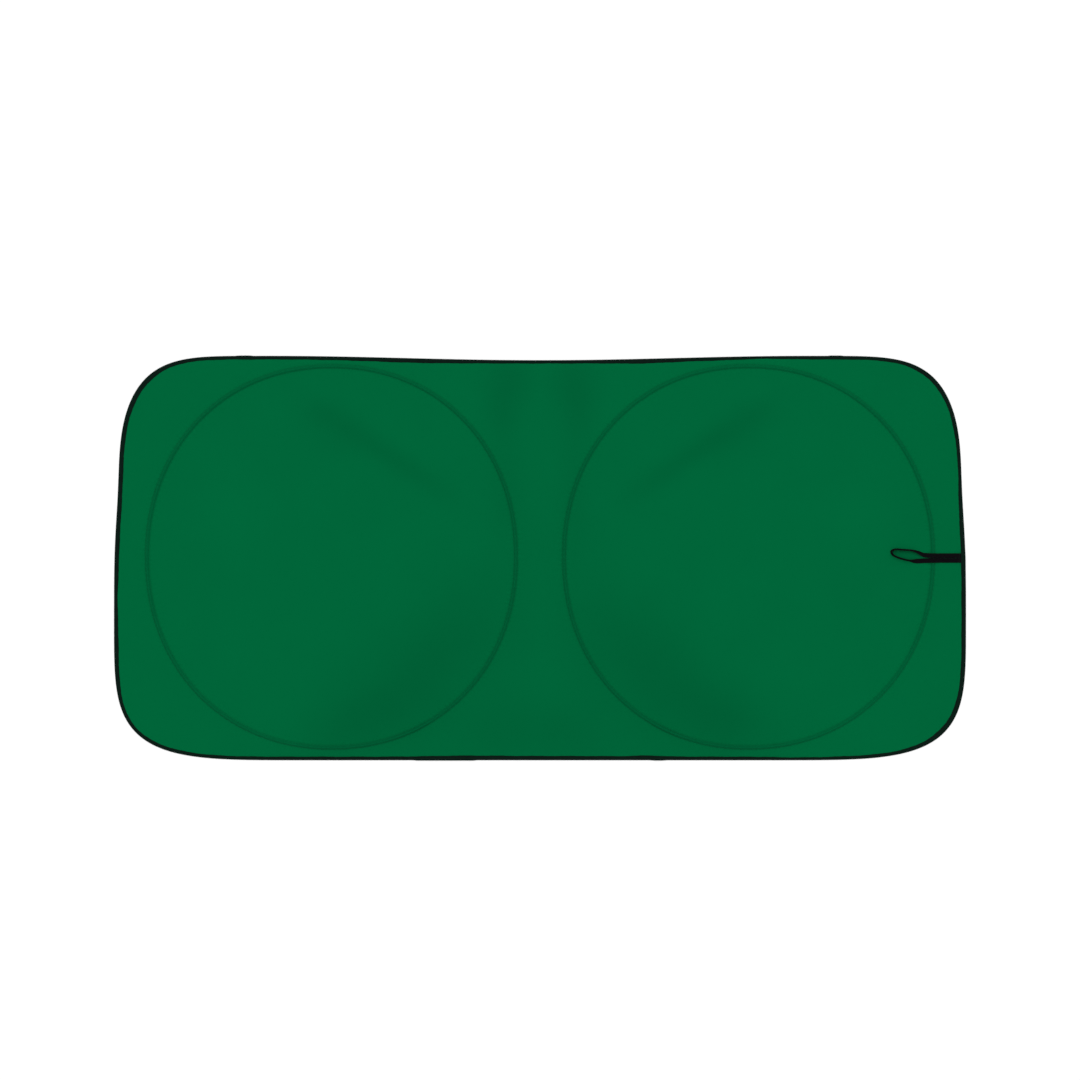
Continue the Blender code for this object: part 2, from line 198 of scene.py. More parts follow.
def superellipse(semi_x, semi_y, squareness, angle):
    """The point of a squared-off ellipse in the direction of the angle."""
    cosine = math.cos(angle)
    sine = math.sin(angle)
    reach = abs(cosine / semi_x) ** squareness + abs(sine / semi_y) ** squareness
    radius = reach ** (-1 / squareness)
    return radius * cosine, radius * sine


class Path:
    """A closed flat curve, anticlockwise, read by the distance along it."""

    def __init__(self, points):
        self.points = np.array(points + points[:1])
        steps = np.linalg.norm(np.diff(self.points, axis=0), axis=1)
        self.along = np.concatenate(([0.0], np.cumsum(steps)))
        self.length = float(self.along[-1])

    def at(self, distance):
        distance = distance % self.length
        x = np.interp(distance, self.along, self.points[:, 0])
        y = np.interp(distance, self.along, self.points[:, 1])
        return Vector((x, y, 0.0))

    def outwards(self, distance, reach=HEADING_REACH):
        ahead = (self.at(distance + reach) - self.at(distance - reach)).normalized()
        return Vector((ahead.y, -ahead.x, 0.0))

    def beside(self, distance, offset, height):
        """The point beside the path, outwards by the offset, at the height."""
        point = self.at(distance) + self.outwards(distance) * offset
        point.z = height
        return point

    def climbing_past(self, y):
        """The distance at which a path that starts low on its right side climbs past y."""
        highest = int(np.argmax(self.points[:, 1]))
        return float(np.interp(y, self.points[:highest, 1], self.along[:highest]))


def drawn_in(x, y):
    """A point of the right end once the end's waist is drawn in."""
    return x - WAIST * math.exp(-(((y - WAIST_ABOVE_MIDDLE) / WAIST_HALF) ** 2)), y


def outline_path():
    """The shade's outer edge, from the right end of its bottom edge all the way round."""
    top_half = LENGTH / 2 - TOP_CORNER_RUN
    bottom_half = LENGTH / 2 - BOTTOM_CORNER_RUN
    top_rise = HEIGHT / 2 + WIDEST_BELOW_MIDDLE
    bottom_drop = HEIGHT / 2 - WIDEST_BELOW_MIDDLE
    quarter = DENSE // 4
    right = []
    for i in range(quarter):
        angle = math.radians(-90 + 90 * i / quarter)
        x, y = superellipse(BOTTOM_CORNER_RUN, bottom_drop, BOTTOM_SQUARENESS, angle)
        right.append(drawn_in(bottom_half + x, y - WIDEST_BELOW_MIDDLE))
    for i in range(quarter + 1):
        angle = math.radians(90 * i / quarter)
        x, y = superellipse(TOP_CORNER_RUN, top_rise, TOP_SQUARENESS, angle)
        right.append(drawn_in(top_half + x, y - WIDEST_BELOW_MIDDLE))
    top = []
    for i in range(1, quarter):
        x = top_half * (1 - 2 * i / quarter)
        dip = TOP_DIP * math.cos(math.pi * x / (2 * top_half)) ** 2
        top.append((x, HEIGHT / 2 - dip))
    left = [(-x, y) for x, y in reversed(right)]
    return Path(right + top + left)


def hoop_path(side):
    """The wire's centre line, seen from above."""
    points = []
    for i in range(DENSE):
        x, y = superellipse(HOOP_SEMI_X, HOOP_SEMI_Y, HOOP_SQUARENESS, math.tau * i / DENSE)
        points.append((side * HOOP_X + x, HOOP_Y + y))
    return Path(points)


EDGE = outline_path()
HOOPS = {name: hoop_path(side) for name, side in SIDES.items()}
ROOT_AT = EDGE.climbing_past(0.0)
ROOT_X = EDGE.at(ROOT_AT).x


def finished(name, bm, finishes, replaces=()):
    """Closes the bmesh into a named piece that rides with the part, smooth but for a cut edge."""
    for face in bm.faces:
        face.smooth = True
    for edge in bm.edges:
        edge.smooth = not edge.is_boundary
    mesh = bpy.data.meshes.new(name)
    bm.to_mesh(mesh)
    bm.free()
    for finish in finishes:
        mesh.materials.append(finish)
    piece = bpy.data.objects.new(name, mesh)
    bpy.context.scene.collection.objects.link(piece)
    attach(piece, "root")
    if replaces:
        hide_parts(*replaces)
    return piece


def wrapped(along, across, place, length, girth):
    """A grid of cells wrapped into a tube and capped where it is open: place gives the point at each share
    along the piece and step round its section. The UV map holds both in metres."""
    bm = bmesh.new()
    weave_of = bm.loops.layers.uv.new("weave")
    bmesh.ops.create_grid(bm, x_segments=along, y_segments=across, size=1.0)
    for face in bm.faces:
        for loop in face.loops:
            share = (loop.vert.co.x + 1) / 2
            turn = (loop.vert.co.y + 1) / 2
            loop[weave_of].uv = (share * length, turn * girth)
    for vert in bm.verts:
        vert.co = place((vert.co.x + 1) / 2, round((vert.co.y + 1) / 2 * across) % across)
    bmesh.ops.remove_doubles(bm, verts=bm.verts, dist=MERGE)
    bmesh.ops.holes_fill(bm, edges=[edge for edge in bm.edges if edge.is_boundary], sides=0)
    bmesh.ops.recalc_face_normals(bm, faces=bm.faces)
    return bm


# Small clearances, by which no piece of the scene shows through another
SHEET_CLEARANCE = 0.00005
FLAP_CLEARANCE = 0.0001
BAND_CLEARANCE = 0.0003

DIMPLE_RUN = 0.0015  # how far past a stitch row the cloth is still pulled down


def wire_lift(distance):
    """How far the right wire has risen into its sleeve, from 0 to 1, at a distance along its path."""
    path = HOOPS["right"]
    turn = math.radians(-90 - SLEEVE_FROM_BOTTOM_DEG)
    sleeve = (turn % math.tau) / math.tau * DENSE
    start = float(np.interp(sleeve, np.arange(DENSE + 1), path.along))
    away = abs((distance - start + path.length / 2) % path.length - path.length / 2)
    return 1 - smooth((away - SLEEVE_LENGTH / 2) / (1.5 * SLEEVE_LENGTH))


def ridge_height(gap, lift, sizes):
    """The cloth's top side at a distance from the wire: tight round it, then straight down to the stitch
    row that pulls it onto the casing, and level beyond."""
    row = CASING_TOP + sizes.cloth + SHEET_CLEARANCE
    beyond = abs(gap) - CHANNEL_HALF
    if beyond >= 0:
        return CLOTH_LEVEL - (CLOTH_LEVEL - row) * math.exp(-((beyond / DIMPLE_RUN) ** 2))
    held = WIRE_RADIUS + lift * (SLEEVE_RADIUS - WIRE_RADIUS)
    middle = CASING_TOP + GAP + held
    radius = held + GAP + sizes.cloth
    away = math.hypot(CHANNEL_HALF, middle - row)
    turn = math.acos(radius / away) - math.atan2(middle - row, CHANNEL_HALF)
    leaves_at = radius * math.cos(turn)
    if abs(gap) < leaves_at:
        return middle + math.sqrt(radius * radius - gap * gap)
    share = (CHANNEL_HALF - abs(gap)) / (CHANNEL_HALF - leaves_at)
    return row + share * (middle + radius * math.sin(turn) - row)


# The slack cloth's waves, read on the right half and mirrored: middle, half length, half width, turn, height
WAVES = (
    ((0.400, 0.040), 0.190, 0.150, 60.0, 1.00),
    ((0.190, -0.170), 0.170, 0.075, -44.0, -0.30),
    ((0.260, 0.177), 0.130, 0.030, 34.0, -0.30),
    ((0.330, 0.225), 0.120, 0.040, 34.0, 0.30),
    ((0.070, 0.285), 0.080, 0.045, 75.0, 0.35),
    ((0.035, -0.020), 0.200, 0.030, 90.0, 0.30),
    ((0.560, -0.170), 0.120, 0.060, 50.0, 0.30),
    ((0.690, -0.240), 0.060, 0.040, 60.0, 0.30),
    ((0.690, 0.250), 0.060, 0.040, -60.0, 0.30),
)
# Painted shade where the slack cloth would slope away from the lamps and painted light where it would face
# them, on the dyed face, in the same form, with the change in its value
PAINTED_SHADE_AND_LIGHT = (
    ((0.190, -0.190), 0.200, 0.085, -44.0, -0.140),
    ((0.320, -0.280), 0.090, 0.050, -20.0, -0.090),
    ((0.260, 0.177), 0.125, 0.022, 34.0, -0.115),
    ((0.380, 0.250), 0.035, 0.025, 0.0, -0.060),
    ((0.055, 0.310), 0.045, 0.042, 90.0, -0.120),
    ((0.060, 0.110), 0.090, 0.028, 90.0, -0.060),
    ((0.068, 0.250), 0.045, 0.030, 90.0, -0.075),
    ((0.346, 0.210), 0.045, 0.040, 0.0, -0.050),
    ((0.040, -0.300), 0.120, 0.060, 0.0, -0.085),
    ((0.535, 0.085), 0.070, 0.060, 60.0, 0.040),
)

# How far from its seams the cloth grows slack
SLACK_BY_HOOP = 0.070
SLACK_BY_EDGE = 0.060
SLACK_BY_BAND = 0.060
BAND_HOLDS = 0.015  # the cloth lies level this near to the elastic band
BAND_HOLDS_FROM = 0.600  # and past this place along the shade
BAND_NEAR = 0.500

# How far in from the edge the binding holds the sheet down, and its fade beside the binding and the casing
HELD_INSET = 0.004
HELD_FADE = 0.010
HELD_BY_CASING = 0.003


def mound(x, y, places):
    """The sum of soft mounds at a point of either half."""
    total = 0.0
    for (middle_x, middle_y), half_length, half_width, turn, height in places:
        angle = math.radians(turn)
        across_x = abs(x) - middle_x
        across_y = y - middle_y
        along = (across_x * math.cos(angle) + across_y * math.sin(angle)) / half_length
        beside = (across_y * math.cos(angle) - across_x * math.sin(angle)) / half_width
        total += height * math.exp(-along * along - beside * beside)
    return total


def slack(x, y, gap, edge):
    """How free the cloth is to wave, from 0 at its seams and under the band to 1."""
    free = smooth((abs(gap) - CASING_HALF) / SLACK_BY_HOOP) * smooth((edge - TAPE_WIDTH) / SLACK_BY_EDGE)
    if x > BAND_NEAR:
        band = math.hypot(max(BAND_HOLDS_FROM - x, 0.0), y)
        free *= smooth((band - BAND_HOLDS) / SLACK_BY_BAND)
    return free


def nearest_of(path):
    """Gives the number and the distance of the path's point nearest to x and y."""
    points = path.points[:-1]
    tree = kdtree.KDTree(len(points))
    for i, (x, y) in enumerate(points):
        tree.insert((x, y, 0.0), i)
    tree.balance()
    return lambda x, y: tree.find((x, y, 0.0))[1:]


def disc_place(a, b):
    """A point of the square from -1 to 1 as its share out to the rim and its angle on a disc."""
    if a == 0 and b == 0:
        return 0.0, 0.0
    if abs(a) >= abs(b):
        share = a
        angle = math.pi / 4 * b / a
    else:
        share = b
        angle = math.pi / 2 - math.pi / 4 * a / b
    return abs(share), angle + (math.pi if share < 0 else 0.0)


def hoop_side(angle):
    """The wire's point at an angle about the right hoop's middle, and the direction out of the hoop."""
    x, y = superellipse(HOOP_SEMI_X, HOOP_SEMI_Y, HOOP_SQUARENESS, angle)
    out_x = math.copysign(abs(x / HOOP_SEMI_X) ** (HOOP_SQUARENESS - 1) / HOOP_SEMI_X, x)
    out_y = math.copysign(abs(y / HOOP_SEMI_Y) ** (HOOP_SQUARENESS - 1) / HOOP_SEMI_Y, y)
    return Vector((HOOP_X + x, HOOP_Y + y, 0.0)), Vector((out_x, out_y, 0.0)).normalized()


MIDLINE_SNAP = 1e-4  # a point this near to the shade's middle line lies on it


def cut_edge():
    """Points of the sheet's cut edge, in the fold of the binding."""
    return [EDGE.beside(EDGE.length * i / DENSE, -CUT_INSET, 0.0) for i in range(DENSE)]


def rim_finder():
    """The right half sheet's cut edge, by the angle about the hoop's middle."""
    edge = []
    for point in cut_edge():
        angle = math.atan2(point.y - HOOP_Y, point.x - HOOP_X) % math.tau
        edge.append((angle, math.hypot(point.x - HOOP_X, point.y - HOOP_Y), point.x, point.y))
    edge.sort()
    angles, reaches, xs, ys = (np.array(column) for column in zip(*edge))
    corners = []
    for half in (ys > 0, ys < 0):
        nearest = int(np.argmin(np.where(half, np.abs(xs), np.inf)))
        corners.append(math.atan2(ys[nearest] - HOOP_Y, -HOOP_X) % math.tau)

    def rim(angle):
        step = math.tau / AROUND
        for corner in corners:
            if abs(angle - corner) <= step / 2:
                angle = corner
        reach = float(np.interp(angle, angles, reaches, period=math.tau))
        if math.cos(angle) < 0:
            reach = min(reach, HOOP_X / -math.cos(angle))
        x = HOOP_X + reach * math.cos(angle)
        return Vector((0.0 if abs(x) < MIDLINE_SNAP else x, HOOP_Y + reach * math.sin(angle), 0.0))

    return rim


# Distances from the wire of the cloth's rings of cells, out of the hoop and mirrored into it
RING_GAPS = (0.00045, 0.0009, 0.0016, 0.0024, 0.0030, CHANNEL_HALF, 0.0041, 0.0048, CASING_HALF, 0.0085)
INNER_GAPS = (0.011, 0.015, 0.020, 0.026, 0.034, 0.045)


def cloth_half():
    """The right half sheet, flat: a disc inside the hoop, rings over the wire and rings out to the edge.
    Each point keeps its distance from the wire, and each face where it lies along the wire."""
    rim = rim_finder()
    bm = bmesh.new()
    gap_of = bm.verts.layers.float.new("gap")
    seam_of = bm.loops.layers.uv.new("seam")
    gaps = [-gap for gap in reversed(RING_GAPS + INNER_GAPS)] + [0.0, *RING_GAPS]
    rows = len(gaps) - 1 + OUT_TO_RIM
    bmesh.ops.create_grid(bm, x_segments=AROUND, y_segments=rows, size=1.0)
    for face in bm.faces:
        for loop in face.loops:
            loop[seam_of].uv = ((loop.vert.co.x + 1) / 2 * HOOPS["right"].length, 0.0)
    for vert in bm.verts:
        angle = (vert.co.x + 1) / 2 * math.tau
        row = round((vert.co.y + 1) / 2 * rows)
        point, out = hoop_side(angle)
        ring = min(row, len(gaps) - 1)
        place = point + out * gaps[ring]
        vert[gap_of] = gaps[ring]
        if row > ring:
            share = 1 - (1 - (row - ring) / OUT_TO_RIM) ** RIM_CROWDING
            target = rim(angle % math.tau)
            vert[gap_of] += (target - place).length * share
            place = place.lerp(target, share)
        vert.co = place
    middle = Vector((HOOP_X, HOOP_Y, 0.0))
    side = AROUND // 4
    for vert in bmesh.ops.create_grid(bm, x_segments=side, y_segments=side, size=1.0)["verts"]:
        share, angle = disc_place(vert.co.x, vert.co.y)
        point, out = hoop_side(angle)
        place = point - out * INNER_GAPS[-1]
        vert[gap_of] = -INNER_GAPS[-1] - (place - middle).length * (1 - share)
        vert.co = middle.lerp(place, share)
    bmesh.ops.remove_doubles(bm, verts=bm.verts, dist=MERGE)
    for face in bm.faces:
        for loop in face.loops:
            loop[seam_of].uv.y = loop.vert[gap_of]
    return bm


def taffeta_sheet(sizes, finishes):
    """The whole sheet, raised over both hoops and slack between its seams."""
    bm = cloth_half()
    bmesh.ops.mirror(bm, geom=bm.verts[:] + bm.edges[:] + bm.faces[:], axis="X", merge_dist=MERGE)
    gap_of = bm.verts.layers.float["gap"]
    painted_shade_of = bm.verts.layers.float.new("tone")
    to_edge = nearest_of(EDGE)
    to_hoop = nearest_of(HOOPS["right"])
    pressed = sizes.tape + sizes.cloth + SHEET_CLEARANCE
    for vert in bm.verts:
        x, y, _ = vert.co
        # Painted shade and painted light in patches, stored on each point
        vert[painted_shade_of] = mound(x, y, PAINTED_SHADE_AND_LIGHT)
        gap = vert[gap_of]
        lift = 0.0
        if abs(gap) < CHANNEL_HALF:
            near, _ = to_hoop(abs(x), y)
            lift = wire_lift(float(HOOPS["right"].along[near]))
        _, edge = to_edge(x, y)
        wave = sizes.swell * slack(x, y, gap, edge) * mound(x, y, WAVES)
        height = max(ridge_height(gap, lift, sizes) + wave, sizes.cloth + GAP)
        beside = smooth((abs(gap) - CASING_HALF) / HELD_BY_CASING)
        held = (1 - smooth((edge - HELD_INSET) / HELD_FADE)) * beside
        vert.co.z = height + (pressed - height) * held
    bmesh.ops.recalc_face_normals(bm, faces=bm.faces)
    bm.faces.ensure_lookup_table()
    if bm.faces[0].normal.z < 0:
        bmesh.ops.reverse_faces(bm, faces=bm.faces)
    sheet = finished("taffeta_sheet", bm, finishes, ("shade_cloth",))
    thicken = sheet.modifiers.new("Thickness", "SOLIDIFY")
    thicken.thickness = sizes.cloth
    thicken.offset = -1.0
    thicken.material_offset = 1
    thicken.material_offset_rim = 0
    return sheet


# Where the binding's ends and joins lap: middle along X, on the top or the bottom edge, and half length
LAPS = ((-0.512, 1, 0.010), (0.512, 1, 0.010), (-0.165, -1, 0.050), (0.205, -1, 0.009))
LAP_STEP = 0.0006
LAP_RUN = 0.004

# Where the tape was fed unevenly: the middle of the stretch, its half length, and the flap gained there
FEEDS = (
    ((0.730, 0.150), 0.060, -0.0022),
    ((0.700, 0.280), 0.070, -0.0014),
    ((0.385, 0.350), 0.050, -0.0016),
    ((0.180, 0.350), 0.060, 0.0019),
    ((0.000, 0.343), 0.090, -0.0005),
    ((-0.220, 0.350), 0.090, 0.0017),
    ((-0.735, -0.075), 0.040, -0.0016),
    ((-0.710, -0.290), 0.060, -0.0030),
    ((-0.130, -0.350), 0.080, 0.0013),
    ((0.030, -0.350), 0.180, 0.0013),
    ((0.187, -0.350), 0.030, 0.0015),
    ((0.450, -0.350), 0.060, -0.0012),
)
FLAP_WANDER = ((0.00022, 0.061), (0.00015, 0.0173))  # depth and length of each small wave in the flap's edge

# The upper flap's bulge over the band's root, and its puckers
BULGE_RUN = 0.009
PUCKER_RISE = 0.00025
PUCKER_ON_STRAIGHT = 0.35  # of a corner's pucker

# The folded tape's section
SEAM_INSET = 0.0020  # from the flap's edge
FOLD_FLAT_FROM = 0.0022  # outside the fold, from the shade's edge
FOLD_OPENS_TO = 0.0030  # inside it
FOLD_ANGLES_DEG = (90, 65, 40, 15, -15, -40, -65, -90)

# How stitches dent a tape and how its edges are rounded
TAPE_ROUNDING = 0.0002
DENT_DEPTH = 0.4  # of the thread's thickness
DENT_BELOW_HALF = 0.0005
DENT_ABOVE_HALF = 0.0007


def lap_at(point):
    """How far the binding's joins stand out at a point of the edge, from 0 to 1."""
    share = 0.0
    for x, side, half in LAPS:
        if point.y * side > 0:
            share = max(share, 1 - smooth((abs(point.x - x) - half) / LAP_RUN))
    return share


def flap_width(distance, sizes):
    """The binding that shows from above, wider at the ends and round the corners, and a little uneven."""
    out = EDGE.outwards(distance, CORNER_REACH)
    width = sizes.level_flap + (sizes.end_flap - sizes.level_flap) * out.x * out.x
    width += sizes.corner_flap * 4 * out.x * out.x * out.y * out.y
    for depth, length in FLAP_WANDER:
        width += depth * math.sin(distance * math.tau / length)
    point = EDGE.at(distance)
    for (x, y), half, gained in FEEDS:
        away = math.hypot(point.x - x, point.y - y) / half
        width += gained * math.exp(-away * away)
    return width


def flap_rise(distance, sizes):
    """How far the upper flap stands up: over the band's root, over its joins and in its corner puckers."""
    away = abs(distance - ROOT_AT) - (BAND_APART / 2 + BAND_WIDTH / 2 + 2 * GAP)
    rise = (BAND_THICKNESS + GAP + BAND_CLEARANCE) * (1 - smooth(away / BULGE_RUN))
    out = EDGE.outwards(distance, CORNER_REACH)
    corner = 4 * out.x * out.x * out.y * out.y
    ripple = 0.5 + 0.5 * math.sin(distance * math.tau / sizes.pucker)
    return rise + LAP_STEP * lap_at(EDGE.at(distance)) + PUCKER_RISE * ripple * (PUCKER_ON_STRAIGHT + corner)


def dented(seam, half, level, depth):
    """Three points of a section, where a stitch row presses into the tape."""
    return [(seam + half, level), (seam, level + depth), (seam - half, level)]


def binding_section(distance, sizes):
    """The folded tape's section: inset from the edge and height, from the lower flap round to the upper."""
    width = flap_width(distance, sizes)
    lap = LAP_STEP * lap_at(EDGE.at(distance))
    floor = sizes.thread / 2
    under = sizes.tape
    over = sizes.tape + sizes.cloth + FLAP_CLEARANCE + flap_rise(distance, sizes)
    top = over + sizes.tape
    seam = width - SEAM_INSET
    dent = DENT_DEPTH * sizes.thread
    rounded = width - TAPE_ROUNDING
    lower = [(rounded, under), (width, under / 2), (rounded, floor)]
    lower += [*dented(seam, DENT_BELOW_HALF, floor, dent), (FOLD_FLAT_FROM, floor / 2)]
    half = top / 2
    fold = []
    for degrees in FOLD_ANGLES_DEG:
        angle = math.radians(degrees)
        fold.append((half - half * math.cos(angle) - lap, half - half * math.sin(angle)))
    upper = [(FOLD_FLAT_FROM, top), *dented(seam, -DENT_ABOVE_HALF, top, -dent)]
    upper += [(rounded, top - TAPE_ROUNDING / 2), (width, top - sizes.tape / 2), (rounded, over)]
    inner = [(FOLD_OPENS_TO, over), (BINDING_FOLD, over - FLAP_CLEARANCE)]
    inner += [(BINDING_FOLD, under + FLAP_CLEARANCE), (FOLD_OPENS_TO, under)]
    return lower + fold + upper + inner


def folded_binding(sizes, finishes):
    """The black tape, folded over the sheet's edge."""
    sections = []
    for i in range(EDGE_CELLS):
        distance = EDGE.length * i / EDGE_CELLS
        section = binding_section(distance, sizes)
        sections.append([EDGE.beside(distance, -inset, height) for inset, height in section])

    def place(share, step):
        return sections[round(share * EDGE_CELLS) % EDGE_CELLS][step]

    bm = wrapped(EDGE_CELLS, len(sections[0]), place, EDGE.length, 4 * TAPE_WIDTH)
    return finished("folded_binding", bm, finishes, ("edge_binding",))


def casing_tape(name, sizes, finishes):
    """The flat tape under a hoop, with softly rounded edges and a dent along each stitch row."""
    path = HOOPS[name]
    floor = sizes.thread / 2
    rounded = CASING_HALF - TAPE_ROUNDING
    half = [(CASING_HALF, (CASING_TOP + floor) / 2), (rounded, floor)]
    half += dented(CHANNEL_HALF, DENT_BELOW_HALF, floor, DENT_DEPTH * sizes.thread)
    section = half + [(-offset, height) for offset, height in reversed(half)]
    section += [(-rounded, CASING_TOP), (0.0, CASING_TOP), (rounded, CASING_TOP)]

    def place(share, step):
        offset, height = section[step]
        return path.beside(path.length * (round(share * AROUND) % AROUND) / AROUND, offset, height)

    bm = wrapped(AROUND, len(section), place, path.length, 4 * CASING_HALF)
    return finished(f"{name}_casing_tape", bm, finishes, (f"{name}_hoop_casing",))


def band_route():
    """Points down the middle of the elastic band as seen from above, out from its root and back to it."""
    side = BAND_APART / 2
    straight = [(inwards, 0.0) for inwards in (CUT_INSET + BAND_END_INSET, *BAND_STRAIGHT)]
    above = [(inwards, side + beyond) for inwards, beyond in (*straight, *EYE_ABOVE)]
    below = [(inwards, -side - beyond) for inwards, beyond in (*straight, *EYE_BELOW)]
    return [Vector((ROOT_X - inwards, up, 0.0)) for inwards, up in (*above, *reversed(below))]


def smooth_points(points, step):
    """Points a step apart on the smooth curve through the given ones."""
    ends = [2 * points[0] - points[1], *points, 2 * points[-1] - points[-2]]
    made = []
    for before, start, end, after in zip(ends, ends[1:], ends[2:], ends[3:]):
        count = math.ceil((end - start).length / step)
        for i in range(count):
            t = i / count
            bend = 2 * start + (end - before) * t
            bend += (2 * before - 5 * start + 4 * end - after) * t**2
            bend += (3 * start - before - 3 * end + after) * t**3
            made.append(bend / 2)
    return [*made, points[-1]]


BAND_RIBS = 6
ACROSS_BAND = 4 * BAND_RIBS
RIB_DEPTH = 0.20  # of the band's half thickness
BAND_EDGE = 0.35  # of the half thickness is left at the band's rounded edge
BAND_EDGE_SQUARENESS = 8
RIDGE_CLEARANCE = 0.0002  # under the band where it crosses the hoop's ridge


def band_section():
    """The ribbed band's section, as shares of its width and of its thickness."""
    upper = []
    for i in range(ACROSS_BAND + 1):
        share = i / ACROSS_BAND - 0.5
        rib = 1 - RIB_DEPTH + RIB_DEPTH * abs(math.sin(math.pi * BAND_RIBS * (share + 0.5)))
        edge = 1 - (2 * abs(share)) ** BAND_EDGE_SQUARENESS
        upper.append((share, 0.5 * rib * max(edge, BAND_EDGE)))
    return upper + [(share, -height) for share, height in reversed(upper)]


def elastic_band(sizes, finishes):
    """The doubled band, flat at its root and rolled up on its edge round the open eye."""
    ridge_x = HOOP_X + HOOP_SEMI_X
    ridge_top = ridge_height(0.0, 0.0, sizes) + RIDGE_CLEARANCE
    hump_half = CHANNEL_HALF + HUMP_RUN
    leans = []
    route = smooth_points(band_route(), BAND_CELL)
    tip = min(range(len(route)), key=lambda i: route[i].x)
    for i, point in enumerate(route):
        starts, ends = ROLL_ABOVE if i < tip else ROLL_BELOW
        share = smooth((ROOT_X - point.x - starts) / (ends - starts))
        lean = math.radians(BAND_LEAN_DEG) * share
        away = min(abs(point.x - ridge_x) / hump_half, 1.0)
        hump = (ridge_top - CLOTH_LEVEL) * math.cos(math.pi * away / 2) ** 2
        half_height = (BAND_WIDTH * math.sin(lean) + BAND_THICKNESS * math.cos(lean)) / 2
        point.z = CLOTH_LEVEL + GAP + half_height + hump
        leans.append(lean)
    section = band_section()
    rings = []
    for i, (middle, lean) in enumerate(zip(route, leans)):
        ahead = (route[min(i + 1, len(route) - 1)] - route[max(i - 1, 0)]).normalized()
        outwards = Vector((ahead.y, -ahead.x, 0.0)).normalized()
        upwards = outwards.cross(ahead)
        face = upwards * math.cos(lean) + outwards * math.sin(lean)
        width = upwards * math.sin(lean) - outwards * math.cos(lean)
        rings.append([middle + width * BAND_WIDTH * s + face * BAND_THICKNESS * t for s, t in section])
    cells = len(rings) - 1

    def place(share, step):
        return rings[round(share * cells)][step]

    bm = wrapped(cells, len(section), place, cells * BAND_CELL, 2 * BAND_WIDTH)
    return finished("elastic_band", bm, finishes, ("elastic_loop",))


# How high the middle of a row's stitches lies over what it is sewn to, in thicknesses of the thread
BINDING_ROW_OVER = -0.1
HOOP_ROW_OVER = 0.2
TACK_OVER = 0.3

# The bar tack's stitches, side by side, each leaning the other way from the last
TACK_STITCHES = 37
TACK_STEP = 0.00044
TACK_LENGTH = 0.0022
TACK_LEAN = 0.12
TACK_FROM_FLAP = 0.0030


GRAIN_RINGS = 4
GRAIN_SIDES = 6


def grain_of_thread():
    """A sphere with few faces, 1 across. It is a rolled grid, because the faces of Blender's own sphere
    come in another order on each run."""
    bm = bmesh.new()
    bmesh.ops.create_grid(bm, x_segments=GRAIN_RINGS, y_segments=GRAIN_SIDES, size=1.0)
    for vert in bm.verts:
        rise = (vert.co.x + 1) / 2 * math.pi
        turn = (vert.co.y + 1) / 2 * math.tau
        ring = math.sin(rise) / 2
        vert.co = (ring * math.sin(turn), ring * math.cos(turn), math.cos(rise) / 2)
    bmesh.ops.remove_doubles(bm, verts=bm.verts, dist=MERGE)
    bmesh.ops.recalc_face_normals(bm, faces=bm.faces)
    return bm


def sewn(name, stitches, finish):
    """A piece of many stitches, each a small grain of thread: middle, heading, length and thickness."""
    bm = grain_of_thread()
    grain = bpy.data.meshes.new("grain")
    bm.to_mesh(grain)
    bm.free()
    whole = bmesh.new()
    for middle, heading, length, thickness in stitches:
        turned = heading.to_track_quat("X", "Z").to_matrix().to_4x4()
        sized = Matrix.Diagonal((length, thickness, thickness, 1.0))
        placed = grain.copy()
        placed.transform(Matrix.Translation(middle) @ turned @ sized)
        whole.from_mesh(placed)
        bpy.data.meshes.remove(placed)
    bpy.data.meshes.remove(grain)
    return finished(name, whole, [finish])


def row_of_stitches(path, offset, height, sizes):
    """Stitches along a path: offset and height give the row's place at each distance."""

    def place(distance):
        return path.beside(distance, offset(distance), height(distance))

    count = round(path.length / (sizes.stitch + sizes.stitch_gap))
    reach = sizes.stitch / 2
    stitches = []
    for i in range(count):
        distance = path.length * (i + 0.5) / count
        heading = (place(distance + reach) - place(distance - reach)).normalized()
        stitches.append((place(distance), heading, sizes.stitch, sizes.thread))
    return stitches


def binding_stitches(sizes):
    """One row through the binding, seen on both of its flaps."""
    level = 2 * sizes.tape + sizes.cloth + FLAP_CLEARANCE

    def row(height):
        return row_of_stitches(EDGE, lambda d: SEAM_INSET - flap_width(d, sizes), height, sizes)

    above = row(lambda d: level + flap_rise(d, sizes) + BINDING_ROW_OVER * sizes.thread)
    return above + row(lambda _: sizes.thread / 2)


def hoop_stitches(name, above, sizes):
    """The two rows beside a wire, on the cloth's face or on the casing's underside."""
    level = sizes.thread / 2
    if above:
        level = ridge_height(CHANNEL_HALF, 0.0, sizes) + HOOP_ROW_OVER * sizes.thread
    stitches = []
    for offset in (-CHANNEL_HALF, CHANNEL_HALF):
        stitches += row_of_stitches(HOOPS[name], lambda _, beside=offset: beside, lambda _: level, sizes)
    return stitches


def bar_tack(sizes):
    """Close stitches across both ends of the band, beside the binding."""
    tack_x = ROOT_X - TAPE_WIDTH - TACK_FROM_FLAP
    level = CLOTH_LEVEL + GAP + BAND_THICKNESS + TACK_OVER * sizes.thread
    stitches = []
    for i in range(TACK_STITCHES):
        middle = Vector((tack_x, (i + 0.5 - TACK_STITCHES / 2) * TACK_STEP, level))
        heading = Vector((1.0, TACK_LEAN if i % 2 else -TACK_LEAN, 0.0)).normalized()
        stitches.append((middle, heading, TACK_LENGTH, sizes.thread))
    return stitches


